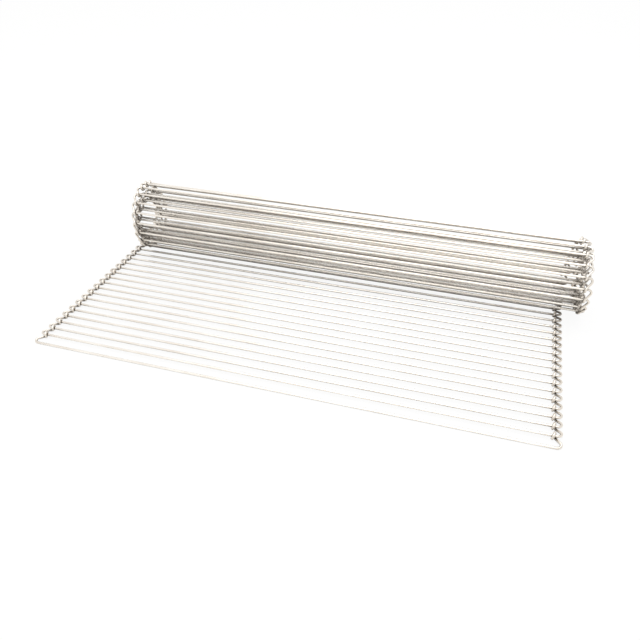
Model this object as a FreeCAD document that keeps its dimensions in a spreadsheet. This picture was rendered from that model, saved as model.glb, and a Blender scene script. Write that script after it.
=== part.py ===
# Wire ladder conveyor belt: a flat length of bent-wire links in front, the rest rolled up behind

import FreeCAD, Part
import math
import os
from FreeCAD import Placement, Rotation, Vector

# Driving sizes, in millimetres and whole numbers of links
DRIVING_SIZES = {
    "pitch": 6.35,
    "wire_diameter": 1.27,
    "belt_width": 276.0,
    "eye_clearance": 0.15,
    "corner_bend": 1.9,
    "eye_inset": 2.4,
    "eye_drift": 1.7,
    "flat_links": 18,
    "bore_radius": 10.0,
    "roll_turns": 3.0,
    "turn_spacing": 4.2,
    "roll_setback": 0.5,
    "side_shift": 0.7,
    "shift_turns": 0.76,
    "side_return": 0.15,
}

EYE_SIDES = 7
EYE_BENDS = 7
FLAT_WIRE_SIDES = 6
ROLLED_WIRE_SIDES = 6
FLAT_CORNER_STEPS = 2
ROLLED_CORNER_STEPS = 1
X_AXIS = Vector(1, 0, 0)
Y_AXIS = Vector(0, 1, 0)
Z_AXIS = Vector(0, 0, 1)


def add_sheet(doc):
    """The sheet of driving sizes, each cell under its own alias."""
    sheet = doc.addObject("Spreadsheet::Sheet", "Sizes")
    for row, (alias, value) in enumerate(DRIVING_SIZES.items(), start=1):
        sheet.set(f"A{row}", alias)
        sheet.set(f"B{row}", str(value))
        sheet.setAlias(f"B{row}", alias)
    doc.recompute()
    return sheet


def eye_radius(sizes):
    """Radius of an eye's centreline about the crossbar that it holds."""
    return sizes.wire_diameter + sizes.eye_clearance


def axis_height(sizes):
    """Height of the crossbars that lie in eyes, above the free one, which lies on the floor."""
    return eye_radius(sizes)


def half_crossbar(sizes):
    """Half the length of a crossbar's straight run, between its rounded corners."""
    return (sizes.belt_width - sizes.wire_diameter) / 2 - sizes.corner_bend


def half_link(sizes, corner_steps):
    """Right half of a link's centreline: corner, tapering side bar, and the eye's helical turn.

    The crossbar lies along X through the origin. The side bar runs along +Y and passes under the
    next crossbar, one pitch away, and the eye turns up its far side, over it and down again.
    """
    half = (sizes.belt_width - sizes.wire_diameter) / 2
    bend = sizes.corner_bend
    nodes = []
    for step in range(corner_steps + 1):
        turned = math.pi / 2 * step / corner_steps
        nodes.append(Vector(half - bend + bend * math.sin(turned), bend - bend * math.cos(turned), 0))
    corner_radius = eye_radius(sizes) / math.cos(math.pi / EYE_SIDES)
    first_angle = -math.pi / 2 - math.pi / EYE_SIDES
    for bend_index in range(EYE_BENDS):
        angle = first_angle + 2 * math.pi / EYE_SIDES * bend_index
        across = half - sizes.eye_inset - sizes.eye_drift * bend_index / (EYE_BENDS - 1)
        along = sizes.pitch + corner_radius * math.cos(angle)
        nodes.append(Vector(across, along, corner_radius * math.sin(angle)))
    return nodes


def mirrored(nodes):
    """The same centreline nodes on the belt's left side, in the opposite order."""
    return [Vector(-node.x, node.y, node.z) for node in reversed(nodes)]


def add_line(doc, name, nodes):
    line = doc.addObject("Part::Polygon", name)
    line.Nodes = nodes
    return line


def square_to_start(line):
    """Placement of a wire section at a centreline's start, square to its first run."""
    start, following = line.Nodes[0], line.Nodes[1]
    return Placement(start, Rotation(Z_AXIS, following - start))


def add_section(doc, line, name, sides):
    """A wire section with few sides and the same area as the round wire."""
    section = doc.addObject("Part::RegularPolygon", name)
    section.Polygon = sides
    turn = 2 * math.pi / sides
    widening = math.sqrt(turn / math.sin(turn))
    section.setExpression("Circumradius", f"Sizes.wire_diameter / 2 * {widening}")
    section.Placement = square_to_start(line)
    return section


def add_wire(doc, name, line, section):
    """A wire: its section swept along its centreline, mitred at each bend."""
    wire = doc.addObject("Part::Sweep", name)
    wire.Sections = [section]
    wire.Spine = (line, [f"Edge{number}" for number in range(1, len(line.Nodes))])
    wire.Solid = True
    wire.Frenet = False
    wire.Transition = "Right corner"
    return wire


def add_free_link(doc, sizes, name):
    """The front link. Its crossbar is truly round, because what joins on there turns on it."""
    half = half_crossbar(sizes) - sizes.wire_diameter
    nodes = [Vector(half, 0, 0)] + half_link(sizes, FLAT_CORNER_STEPS)
    crossbar = doc.addObject("Part::Cylinder", "FreeCrossbar")
    crossbar.setExpression("Radius", "Sizes.wire_diameter / 2")
    crossbar.Height = 2 * half
    crossbar.Placement = Placement(Vector(-half, 0, 0), Rotation(Y_AXIS, 90))
    sides = []
    for side, points in (("Left", mirrored(nodes)), ("Right", nodes)):
        line = add_line(doc, f"Free{side}Line", points)
        section = add_section(doc, line, f"Free{side}Section", FLAT_WIRE_SIDES)
        sides.append(add_wire(doc, f"Free{side}Side", line, section))
    link = doc.addObject("Part::MultiFuse", name)
    link.Shapes = [crossbar] + sides
    link.Label = name
    return link


def roll_radius(sizes):
    """Radius of the crossbars' spiral at the roll's lowest point, where the flat length joins it."""
    return sizes.bore_radius + sizes.roll_turns * sizes.turn_spacing


def spiral_point(sizes, start, angle):
    """Point of the rolled crossbars' spiral, its angle taken from the roll's lowest point."""
    radius = roll_radius(sizes) - sizes.turn_spacing * angle / (2 * math.pi)
    centre = start + Vector(0, sizes.roll_setback, roll_radius(sizes))
    return centre + Vector(0, radius * math.sin(angle), -radius * math.cos(angle))


def next_angle(sizes, start, point, angle):
    """Angle further along the spiral at which the next crossbar lies one pitch from the last."""
    low, high = angle, angle + math.pi / 2
    for _ in range(60):
        middle = (low + high) / 2
        if (spiral_point(sizes, start, middle) - point).Length < sizes.pitch:
            low = middle
        else:
            high = middle
    return high


def flat_crossbars(sizes):
    """Crossbar centres of the flat length. The first has no eyes round it and lies on the floor."""
    height = axis_height(sizes)
    second = math.sqrt(sizes.pitch ** 2 - height ** 2)
    points = [Vector(0, 0, 0)]
    for number in range(int(sizes.flat_links)):
        points.append(Vector(0, second + number * sizes.pitch, height))
    return points


def rolled_crossbars(sizes, start):
    """Crossbar centres round the spiral, each with the number of the turn that it lies in.

    The outer turn creeps sideways by a little at each link of its first shift_turns, and the
    inner turns creep back.
    """
    last_angle = 2 * math.pi * sizes.roll_turns
    shift_end = 2 * math.pi * sizes.shift_turns
    return_start = 2 * math.pi
    point, angle, shift = start, 0.0, 0.0
    found = [(start, 1)]
    while True:
        angle = next_angle(sizes, start, point, angle)
        if angle > last_angle:
            return found
        point = spiral_point(sizes, start, angle)
        if angle < shift_end:
            shift += sizes.side_shift
        elif angle > return_start:
            shift -= sizes.side_return
        found.append((point + X_AXIS * shift, int(angle / (2 * math.pi)) + 1))


def link_placement(here, following):
    """Placement of a link whose crossbar is here and whose eyes hold the following crossbar."""
    run = following - here
    tilt = math.degrees(math.atan2(run.z, run.y))
    return Placement(here, Rotation(X_AXIS, tilt))


def add_flat_links(doc, sizes, crossbars):
    """The flat links, numbered from the free front edge."""
    right = half_link(sizes, FLAT_CORNER_STEPS)
    line = add_line(doc, "FlatCentreline", mirrored(right) + right)
    section = add_section(doc, line, "FlatSection", FLAT_WIRE_SIDES)
    links = [add_free_link(doc, sizes, "link_01")]
    for number in range(2, len(crossbars)):
        link = add_wire(doc, f"link_{number:02d}", line, section)
        link.Label = f"link_{number:02d}"
        links.append(link)
    for link, here, following in zip(links, crossbars, crossbars[1:]):
        link.Placement = link_placement(here, following)
    return links


def add_rolled_turns(doc, sizes, start):
    """The rolled links, in one node for each turn of the roll."""
    right = half_link(sizes, ROLLED_CORNER_STEPS)
    line = add_line(doc, "RolledCentreline", mirrored(right) + right)
    section = add_section(doc, line, "RolledSection", ROLLED_WIRE_SIDES)
    crossbars = rolled_crossbars(sizes, start)
    turns = {}
    for number, (here, following) in enumerate(zip(crossbars, crossbars[1:]), start=1):
        link = add_wire(doc, f"rolled_link_{number:02d}", line, section)
        link.Placement = link_placement(here[0], following[0])
        turns.setdefault(here[1], []).append(link)
    nodes = []
    for turn, links in turns.items():
        node = doc.addObject("Part::Compound", f"roll_turn_{turn}")
        node.Links = links
        node.Label = f"roll_turn_{turn}"
        nodes.append(node)
    return nodes


def check_objects(doc, nodes):
    """Stops on any failed object and on any piece that is not a valid shape."""
    for item in doc.Objects:
        if "Invalid" in item.State or "Error" in item.State:
            raise RuntimeError(f"{item.Label} failed: {item.State}")
    for node in nodes:
        if node.Shape.isNull() or not node.Shape.isValid():
            raise RuntimeError(f"{node.Label} has no valid shape")


def main():
    doc = FreeCAD.newDocument("WireLadderBelt")
    sizes = add_sheet(doc)
    crossbars = flat_crossbars(sizes)
    nodes = add_flat_links(doc, sizes, crossbars)
    nodes += add_rolled_turns(doc, sizes, crossbars[-1])
    doc.recompute()
    check_objects(doc, nodes)
    os.makedirs("parts", exist_ok=True)
    for node in nodes:
        node.Shape.exportStep(f"parts/{node.Label}.step")
        print(node.Label, "solids", len(node.Shape.Solids), "volume", round(node.Shape.Volume, 1))


main()
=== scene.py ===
# Looks of the wire ladder belt: smooth round wires of bright drawn stainless steel in a pale studio
import math
import bpy
from mathutils import Euler, Matrix, Vector


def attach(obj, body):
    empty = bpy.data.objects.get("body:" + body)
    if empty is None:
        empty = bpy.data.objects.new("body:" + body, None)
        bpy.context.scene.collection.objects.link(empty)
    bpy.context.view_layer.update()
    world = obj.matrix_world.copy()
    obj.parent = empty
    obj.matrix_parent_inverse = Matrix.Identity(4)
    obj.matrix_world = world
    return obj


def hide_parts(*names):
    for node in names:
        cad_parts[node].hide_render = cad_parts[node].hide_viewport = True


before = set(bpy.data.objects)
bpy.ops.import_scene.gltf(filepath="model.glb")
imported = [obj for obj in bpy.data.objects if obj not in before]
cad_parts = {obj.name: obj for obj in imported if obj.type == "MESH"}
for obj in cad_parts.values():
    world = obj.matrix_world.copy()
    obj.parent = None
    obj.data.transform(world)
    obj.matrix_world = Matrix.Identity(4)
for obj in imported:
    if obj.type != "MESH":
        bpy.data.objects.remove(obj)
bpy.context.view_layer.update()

# Sizes of the belt, in metres
PITCH = 0.00635
WIRE_RADIUS = 0.000635
BELT_WIDTH = 0.276
EYE_CLEARANCE = 0.00015
EYE_RADIUS = 2 * WIRE_RADIUS + EYE_CLEARANCE
CORNER_BEND = 0.0019
EYE_INSET = 0.0024
EYE_DRIFT = 0.0017
FLAT_LINKS = 18
BORE_RADIUS = 0.010
ROLL_TURNS = 3.0
TURN_SPACING = 0.0042
ROLL_RADIUS = BORE_RADIUS + ROLL_TURNS * TURN_SPACING
ROLL_SETBACK = 0.0005
SIDE_SHIFT = 0.0007
SHIFT_TURNS = 0.76
SIDE_RETURN = 0.00015

# How finely the wires are meshed
WIRE_SIDES = 14
CORNER_STEPS = 9
EYE_STEPS = 34
CROSSBAR_STEPS = 24
EYE_END_ANGLE = math.radians(206)
CUT_EDGE = 0.00012

# Clean drawn steel, slightly blotched, with fine lines along each crossbar
DARKER_STEEL = (0.86, 0.8, 0.725, 1)
LIGHTER_STEEL = (0.96, 0.92, 0.86, 1)
BLOTCH_SCALE = 45.0
BLOTCH_DETAIL = 2.0
BLOTCH_RANGE = (0.35, 0.65)
DRAW_LINE_SCALE = (14.0, 900.0, 900.0)
DRAW_LINE_DETAIL = 3.0
DRAW_LINE_STRENGTH = 0.12
DRAW_LINE_DEPTH = 0.00004
ROUGHNESS = (0.18, 0.34)

# The camera, at the photograph's viewing angle
LENS_MM = 36.55
CAMERA_AZIMUTH = math.radians(16.518)
CAMERA_ELEVATION = math.radians(34.939)
CAMERA_ROLL = math.radians(0.235)
CAMERA_PLACE = Vector((0.0922, -0.2274, 0.2132))

# Painted shade in crevices and on the undersides of wires, a near-black colour where little is open
# above:
# how far round a wire crevices are looked for and how much more upwards than straight out, and how
# open a place must be to stay unshaded
CREVICE_SHADE_COLOUR = (0.02, 0.013, 0.008, 1)
CREVICE_SAMPLES = 12
CREVICE_REACH = 0.017
CREVICE_LEAN = (0, 0, 0.9)
CREVICE_DARK = 0.43
CREVICE_OPEN = 0.63

# Thin brown stain at each link's ends, where the eyes rub, and the least share of metal there that the
# painted crevice shade leaves unshaded
STAIN_COLOUR = (0.42, 0.35, 0.28, 1)
JOINT_REACH = 0.0035
JOINT_STAIN = 0.3
JOINT_UNSHADED = 0.4

# The floor, and the share of it that the camera sees as plain white, so that shadows stay faint
FLOOR_COLOUR = (0.93, 0.93, 0.915, 1)
FLOOR_ROUGHNESS = 0.9
FLOOR_WHITENESS = 0.9
FLOOR_SIZE = 6.0

# The light: its strength from all round, and two softboxes above, as place, size and power
SOFT_LIGHT = 0.9
LIT_PLACE = (0, 0.06, 0)
KEY_SOFTBOX = ((0.0, -0.3, 1.0), 0.6, 2.6)
TOP_SOFTBOX = ((0.0, 0.35, 1.15), 0.9, 3.5)

HALF_WIDTH = BELT_WIDTH / 2 - WIRE_RADIUS


def half_link_path():
    """Right half of a link's centreline, from the crossbar's end round the corner to the eye's end.

    The crossbar lies along X through the origin, and the side bar runs along +Y to the next one.
    """
    taper = math.atan2(EYE_INSET, PITCH - CORNER_BEND)
    points = []
    for step in range(CORNER_STEPS + 1):
        angle = (math.pi / 2 + taper) * step / CORNER_STEPS - math.pi / 2
        across = HALF_WIDTH - CORNER_BEND + CORNER_BEND * math.cos(angle)
        points.append(Vector((across, CORNER_BEND + CORNER_BEND * math.sin(angle), 0)))
    reach = PITCH - points[-1].y
    first = math.acos(EYE_RADIUS / reach) - math.pi
    for step in range(EYE_STEPS + 1):
        share = step / EYE_STEPS
        angle = first + (EYE_END_ANGLE - first) * share
        across = HALF_WIDTH - EYE_INSET - EYE_DRIFT * share
        height = EYE_RADIUS * math.sin(angle)
        points.append(Vector((across, PITCH + EYE_RADIUS * math.cos(angle), height)))
    return points


def link_path():
    """A whole link's centreline, from one eye's cut end to the other."""
    right = half_link_path()
    left = [Vector((-point.x, point.y, point.z)) for point in reversed(right)]
    end = right[0].x
    bar = [Vector((end * (2 * step / CROSSBAR_STEPS - 1), 0, 0)) for step in range(1, CROSSBAR_STEPS)]
    return left + bar + right


def tube_mesh(name, path, radius, sides):
    """A closed round wire along a path, its two cut ends slightly broken at the edge."""
    ends = [path[0], path[0] + (path[1] - path[0]).normalized() * CUT_EDGE]
    tail = [path[-1] + (path[-2] - path[-1]).normalized() * CUT_EDGE, path[-1]]
    points = ends + path[1:-1] + tail
    radii = [radius - CUT_EDGE] + [radius] * (len(points) - 2) + [radius - CUT_EDGE]
    tangents = []
    for index in range(len(points)):
        before = points[max(index - 1, 0)]
        after = points[min(index + 1, len(points) - 1)]
        tangents.append((after - before).normalized())
    side = tangents[0].orthogonal().normalized()
    verts, faces = [], []
    for point, tangent, size in zip(points, tangents, radii):
        side = (side - tangent * side.dot(tangent)).normalized()
        other = tangent.cross(side)
        for step in range(sides):
            turn = 2 * math.pi * step / sides
            verts.append(point + (side * math.cos(turn) + other * math.sin(turn)) * size)
    for ring in range(len(points) - 1):
        for step in range(sides):
            near, far = ring * sides, (ring + 1) * sides
            following = (step + 1) % sides
            faces.append((near + step, near + following, far + following, far + step))
    faces.append(tuple(reversed(range(sides))))
    last = (len(points) - 1) * sides
    faces.append(tuple(last + step for step in range(sides)))
    mesh = bpy.data.meshes.new(name)
    mesh.from_pydata([tuple(vert) for vert in verts], [], faces)
    mesh.polygons.foreach_set("use_smooth", [len(face) == 4 for face in faces])
    mesh.update()
    return mesh


def flat_crossbars():
    """Crossbar centres of the flat length. The first has no eyes round it and lies on the floor."""
    second = math.sqrt(PITCH ** 2 - EYE_RADIUS ** 2)
    points = [Vector((0, 0, 0))]
    for number in range(FLAT_LINKS):
        points.append(Vector((0, second + number * PITCH, EYE_RADIUS)))
    return points


def spiral_point(start, angle):
    """Point of the rolled crossbars' spiral, its angle taken from the roll's lowest point."""
    radius = ROLL_RADIUS - TURN_SPACING * angle / (2 * math.pi)
    centre = start + Vector((0, ROLL_SETBACK, ROLL_RADIUS))
    return centre + Vector((0, radius * math.sin(angle), -radius * math.cos(angle)))


def next_angle(start, point, angle):
    """Angle further along the spiral at which the next crossbar lies one pitch from the last."""
    low, high = angle, angle + math.pi / 2
    for _ in range(50):
        middle = (low + high) / 2
        if (spiral_point(start, middle) - point).length < PITCH:
            low = middle
        else:
            high = middle
    return high


def rolled_crossbars(start):
    """Crossbar centres round the spiral, each with the number of the turn that it lies in."""
    last_angle = 2 * math.pi * ROLL_TURNS
    point, angle, shift = start, 0.0, 0.0
    found = [(start, 1)]
    while True:
        angle = next_angle(start, point, angle)
        if angle > last_angle:
            return found
        point = spiral_point(start, angle)
        if angle < 2 * math.pi * SHIFT_TURNS:
            shift += SIDE_SHIFT
        elif angle > 2 * math.pi:
            shift -= SIDE_RETURN
        found.append((point + Vector((shift, 0, 0)), int(angle / (2 * math.pi)) + 1))


def link_matrix(here, following):
    """Place of a link whose crossbar is here and whose eyes hold the following crossbar."""
    run = following - here
    return Matrix.Translation(here) @ Matrix.Rotation(math.atan2(run.z, run.y), 4, "X")


def math_node(nodes, links, operation, first, second):
    """A node's value worked on with a number or with another node's value."""
    node = nodes.new("ShaderNodeMath")
    node.operation = operation
    links.new(first, node.inputs[0])
    if isinstance(second, float):
        node.inputs[1].default_value = second
    else:
        links.new(second, node.inputs[1])
    return node


def colour_mix(nodes, links, share, first, second):
    """One colour going over into another. Each is a plain colour or a node's colour."""
    mix = nodes.new("ShaderNodeMix")
    mix.data_type = "RGBA"
    links.new(share, mix.inputs["Factor"])
    for name, colour in (("A", first), ("B", second)):
        if isinstance(colour, tuple):
            mix.inputs[name].default_value = colour
        else:
            links.new(colour, mix.inputs[name])
    return mix.outputs["Result"]


def noise(nodes, links, place, scale, detail):
    """A soft noise's strength at each place."""
    texture = nodes.new("ShaderNodeTexNoise")
    texture.inputs["Scale"].default_value = scale
    texture.inputs["Detail"].default_value = detail
    links.new(place, texture.inputs["Vector"])
    return texture.outputs["Fac"]


def clean_colour(nodes, links, place):
    """Warm grey steel, lighter in soft blotches."""
    tint = nodes.new("ShaderNodeValToRGB")
    darker, lighter = tint.color_ramp.elements
    darker.position, lighter.position = BLOTCH_RANGE
    darker.color, lighter.color = DARKER_STEEL, LIGHTER_STEEL
    links.new(noise(nodes, links, place, BLOTCH_SCALE, BLOTCH_DETAIL), tint.inputs["Fac"])
    return tint.outputs["Color"]


def open_share(nodes, links):
    """How open each place on a wire is, looking mostly upwards, from 0 in a crevice to 1; this is the
    mask of the painted shade.
    """
    facing = nodes.new("ShaderNodeNewGeometry")
    raised = nodes.new("ShaderNodeVectorMath")
    raised.operation = "ADD"
    raised.inputs[1].default_value = CREVICE_LEAN
    links.new(facing.outputs["Normal"], raised.inputs[0])
    upward = nodes.new("ShaderNodeVectorMath")
    upward.operation = "NORMALIZE"
    links.new(raised.outputs["Vector"], upward.inputs[0])
    crevice = nodes.new("ShaderNodeAmbientOcclusion")
    crevice.samples = CREVICE_SAMPLES
    crevice.inputs["Distance"].default_value = CREVICE_REACH
    links.new(upward.outputs["Vector"], crevice.inputs["Normal"])
    share = nodes.new("ShaderNodeMapRange")
    share.inputs["From Min"].default_value = CREVICE_DARK
    share.inputs["From Max"].default_value = CREVICE_OPEN
    links.new(crevice.outputs["AO"], share.inputs["Value"])
    return share.outputs["Result"]


def add_draw_lines(nodes, links, place, shader):
    """Fine lines along each crossbar, in the metal's roughness and in its relief."""
    stretch = nodes.new("ShaderNodeMapping")
    stretch.inputs["Scale"].default_value = DRAW_LINE_SCALE
    links.new(place, stretch.inputs["Vector"])
    drawn = noise(nodes, links, stretch.outputs["Vector"], 1.0, DRAW_LINE_DETAIL)
    rough = nodes.new("ShaderNodeMapRange")
    rough.inputs["To Min"].default_value = ROUGHNESS[0]
    rough.inputs["To Max"].default_value = ROUGHNESS[1]
    links.new(drawn, rough.inputs["Value"])
    links.new(rough.outputs["Result"], shader.inputs["Roughness"])
    bump = nodes.new("ShaderNodeBump")
    bump.inputs["Strength"].default_value = DRAW_LINE_STRENGTH
    bump.inputs["Distance"].default_value = DRAW_LINE_DEPTH
    links.new(drawn, bump.inputs["Height"])
    links.new(bump.outputs["Normal"], shader.inputs["Normal"])


def steel_material():
    """Bright drawn stainless wire, stained where the eyes rub, with painted shade in its crevices and
    on its undersides.
    """
    material = bpy.data.materials.new("stainless_wire")
    material.use_nodes = True
    nodes, links = material.node_tree.nodes, material.node_tree.links
    shader = nodes["Principled BSDF"]
    shader.inputs["Metallic"].default_value = 1.0
    place = nodes.new("ShaderNodeTexCoord").outputs["Object"]
    joint = nodes.new("ShaderNodeAttribute")
    joint.attribute_name = "joint"
    near_eye = joint.outputs["Fac"]
    rubbed = math_node(nodes, links, "MULTIPLY", near_eye, JOINT_STAIN).outputs[0]
    stained = colour_mix(nodes, links, rubbed, clean_colour(nodes, links, place), STAIN_COLOUR)
    kept = math_node(nodes, links, "MULTIPLY", near_eye, JOINT_UNSHADED).outputs[0]
    # Painted shade: the colour goes over into near-black where a wire is little open above, in
    # crevices and on undersides; the rubbed ends keep some of their colour
    unshaded_share = math_node(nodes, links, "MAXIMUM", open_share(nodes, links), kept).outputs[0]
    shaded_colour = colour_mix(nodes, links, unshaded_share, CREVICE_SHADE_COLOUR, stained)
    links.new(shaded_colour, shader.inputs["Base Color"])
    add_draw_lines(nodes, links, place, shader)
    return material


def add_wire_piece(name, matrices, steel, body, node):
    """One piece made of the links at the given places. It stands for its CAD node."""
    mesh = joined_links(name, matrices)
    mesh.materials.append(steel)
    piece = bpy.data.objects.new(name, mesh)
    bpy.context.scene.collection.objects.link(piece)
    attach(piece, body)
    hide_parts(node)
    return piece


def joint_share(across):
    """How fully a point of a link lies in the rubbed part round its eyes, from 0 to 1."""
    start = HALF_WIDTH - EYE_INSET - EYE_DRIFT - JOINT_REACH
    return min(max((abs(across) - start) / JOINT_REACH, 0.0), 1.0)


def joined_links(name, matrices):
    """One mesh with a smooth link at each place."""
    single = tube_mesh(name + "_link", link_path(), WIRE_RADIUS, WIRE_SIDES)
    near_eye = [joint_share(vert.co.x) for vert in single.vertices]
    verts, faces, smooth = [], [], []
    for matrix in matrices:
        base = len(verts)
        verts += [tuple(matrix @ vert.co) for vert in single.vertices]
        faces += [tuple(base + index for index in polygon.vertices) for polygon in single.polygons]
        smooth += [polygon.use_smooth for polygon in single.polygons]
    mesh = bpy.data.meshes.new(name)
    mesh.from_pydata(verts, [], faces)
    mesh.polygons.foreach_set("use_smooth", smooth)
    mesh.attributes.new("joint", "FLOAT", "POINT").data.foreach_set("value", near_eye * len(matrices))
    mesh.update()
    bpy.data.meshes.remove(single)
    return mesh


def add_belt(steel):
    """Every link of the belt: a piece for each flat link and for each turn of the roll."""
    crossbars = flat_crossbars()
    for number, (here, following) in enumerate(zip(crossbars, crossbars[1:]), start=1):
        node = f"link_{number:02d}"
        body = node if number < FLAT_LINKS else "roll"
        add_wire_piece(f"wire_{node}", [link_matrix(here, following)], steel, body, node)
    rolled = rolled_crossbars(crossbars[-1])
    turns = {}
    for here, following in zip(rolled, rolled[1:]):
        turns.setdefault(here[1], []).append(link_matrix(here[0], following[0]))
    for turn, matrices in turns.items():
        node = f"roll_turn_{turn}"
        add_wire_piece(f"wire_{node}", matrices, steel, "roll", node)


def add_floor():
    """A plain pale floor that keeps the belt's soft shadow."""
    corner = FLOOR_SIZE / 2
    mesh = bpy.data.meshes.new("floor")
    corners = [(-corner, -corner), (corner, -corner), (corner, corner), (-corner, corner)]
    mesh.from_pydata([(x, y, -WIRE_RADIUS) for x, y in corners], [], [(0, 1, 2, 3)])
    floor = bpy.data.objects.new("floor", mesh)
    bpy.context.scene.collection.objects.link(floor)
    material = bpy.data.materials.new("pale_floor")
    material.use_nodes = True
    nodes, links = material.node_tree.nodes, material.node_tree.links
    shader = nodes["Principled BSDF"]
    shader.inputs["Base Color"].default_value = FLOOR_COLOUR
    shader.inputs["Roughness"].default_value = FLOOR_ROUGHNESS
    shader.inputs["Specular IOR Level"].default_value = 0.0
    rays = nodes.new("ShaderNodeLightPath")
    share = math_node(nodes, links, "MULTIPLY", rays.outputs["Is Camera Ray"], FLOOR_WHITENESS)
    white = nodes.new("ShaderNodeEmission")
    white.inputs["Strength"].default_value = 1.0
    mix = nodes.new("ShaderNodeMixShader")
    links.new(share.outputs[0], mix.inputs["Fac"])
    links.new(shader.outputs[0], mix.inputs[1])
    links.new(white.outputs[0], mix.inputs[2])
    links.new(mix.outputs[0], nodes["Material Output"].inputs["Surface"])
    mesh.materials.append(material)


def add_world():
    """White to the camera and in reflections, and a plain soft light on everything else."""
    world = bpy.data.worlds.new("studio")
    bpy.context.scene.world = world
    world.use_nodes = True
    nodes, links = world.node_tree.nodes, world.node_tree.links
    nodes.clear()
    rays = nodes.new("ShaderNodeLightPath")
    seen = math_node(nodes, links, "ADD", rays.outputs["Is Camera Ray"], rays.outputs["Is Glossy Ray"])
    through = math_node(nodes, links, "ADD", seen.outputs[0], rays.outputs["Is Transmission Ray"])
    through.use_clamp = True
    soft = nodes.new("ShaderNodeBackground")
    soft.inputs["Color"].default_value = (1, 1, 1, 1)
    soft.inputs["Strength"].default_value = SOFT_LIGHT
    white = nodes.new("ShaderNodeBackground")
    white.inputs["Color"].default_value = (1, 1, 1, 1)
    white.inputs["Strength"].default_value = 1.0
    mix = nodes.new("ShaderNodeMixShader")
    links.new(through.outputs[0], mix.inputs["Fac"])
    links.new(soft.outputs[0], mix.inputs[1])
    links.new(white.outputs[0], mix.inputs[2])
    output = nodes.new("ShaderNodeOutputWorld")
    links.new(mix.outputs[0], output.inputs["Surface"])


def add_area_light(name, place, target, size, power):
    """A square softbox that shines from its place towards a target."""
    lamp = bpy.data.lights.new(name, "AREA")
    lamp.shape = "SQUARE"
    lamp.size = size
    lamp.energy = power
    light = bpy.data.objects.new(name, lamp)
    light.location = place
    light.rotation_euler = (Vector(target) - Vector(place)).to_track_quat("-Z", "Y").to_euler()
    bpy.context.scene.collection.objects.link(light)


def add_lights():
    """Two weak softboxes, above the belt's front and above its back."""
    for name, (place, size, power) in (("key_softbox", KEY_SOFTBOX), ("top_softbox", TOP_SOFTBOX)):
        add_area_light(name, place, LIT_PLACE, size, power)


def add_camera():
    """The camera at the photograph's place and angle."""
    lens = bpy.data.cameras.new("camera")
    lens.lens = LENS_MM
    lens.clip_start = 0.01
    camera = bpy.data.objects.new("camera", lens)
    turned = Euler((math.pi / 2 - CAMERA_ELEVATION, 0, CAMERA_AZIMUTH)).to_matrix()
    rolled = turned @ Matrix.Rotation(CAMERA_ROLL, 3, "Z")
    camera.matrix_world = Matrix.Translation(CAMERA_PLACE) @ rolled.to_4x4()
    bpy.context.scene.collection.objects.link(camera)
    bpy.context.scene.camera = camera


add_belt(steel_material())
add_floor()
add_world()
add_lights()
add_camera()
bpy.context.scene.view_settings.view_transform = "Standard"
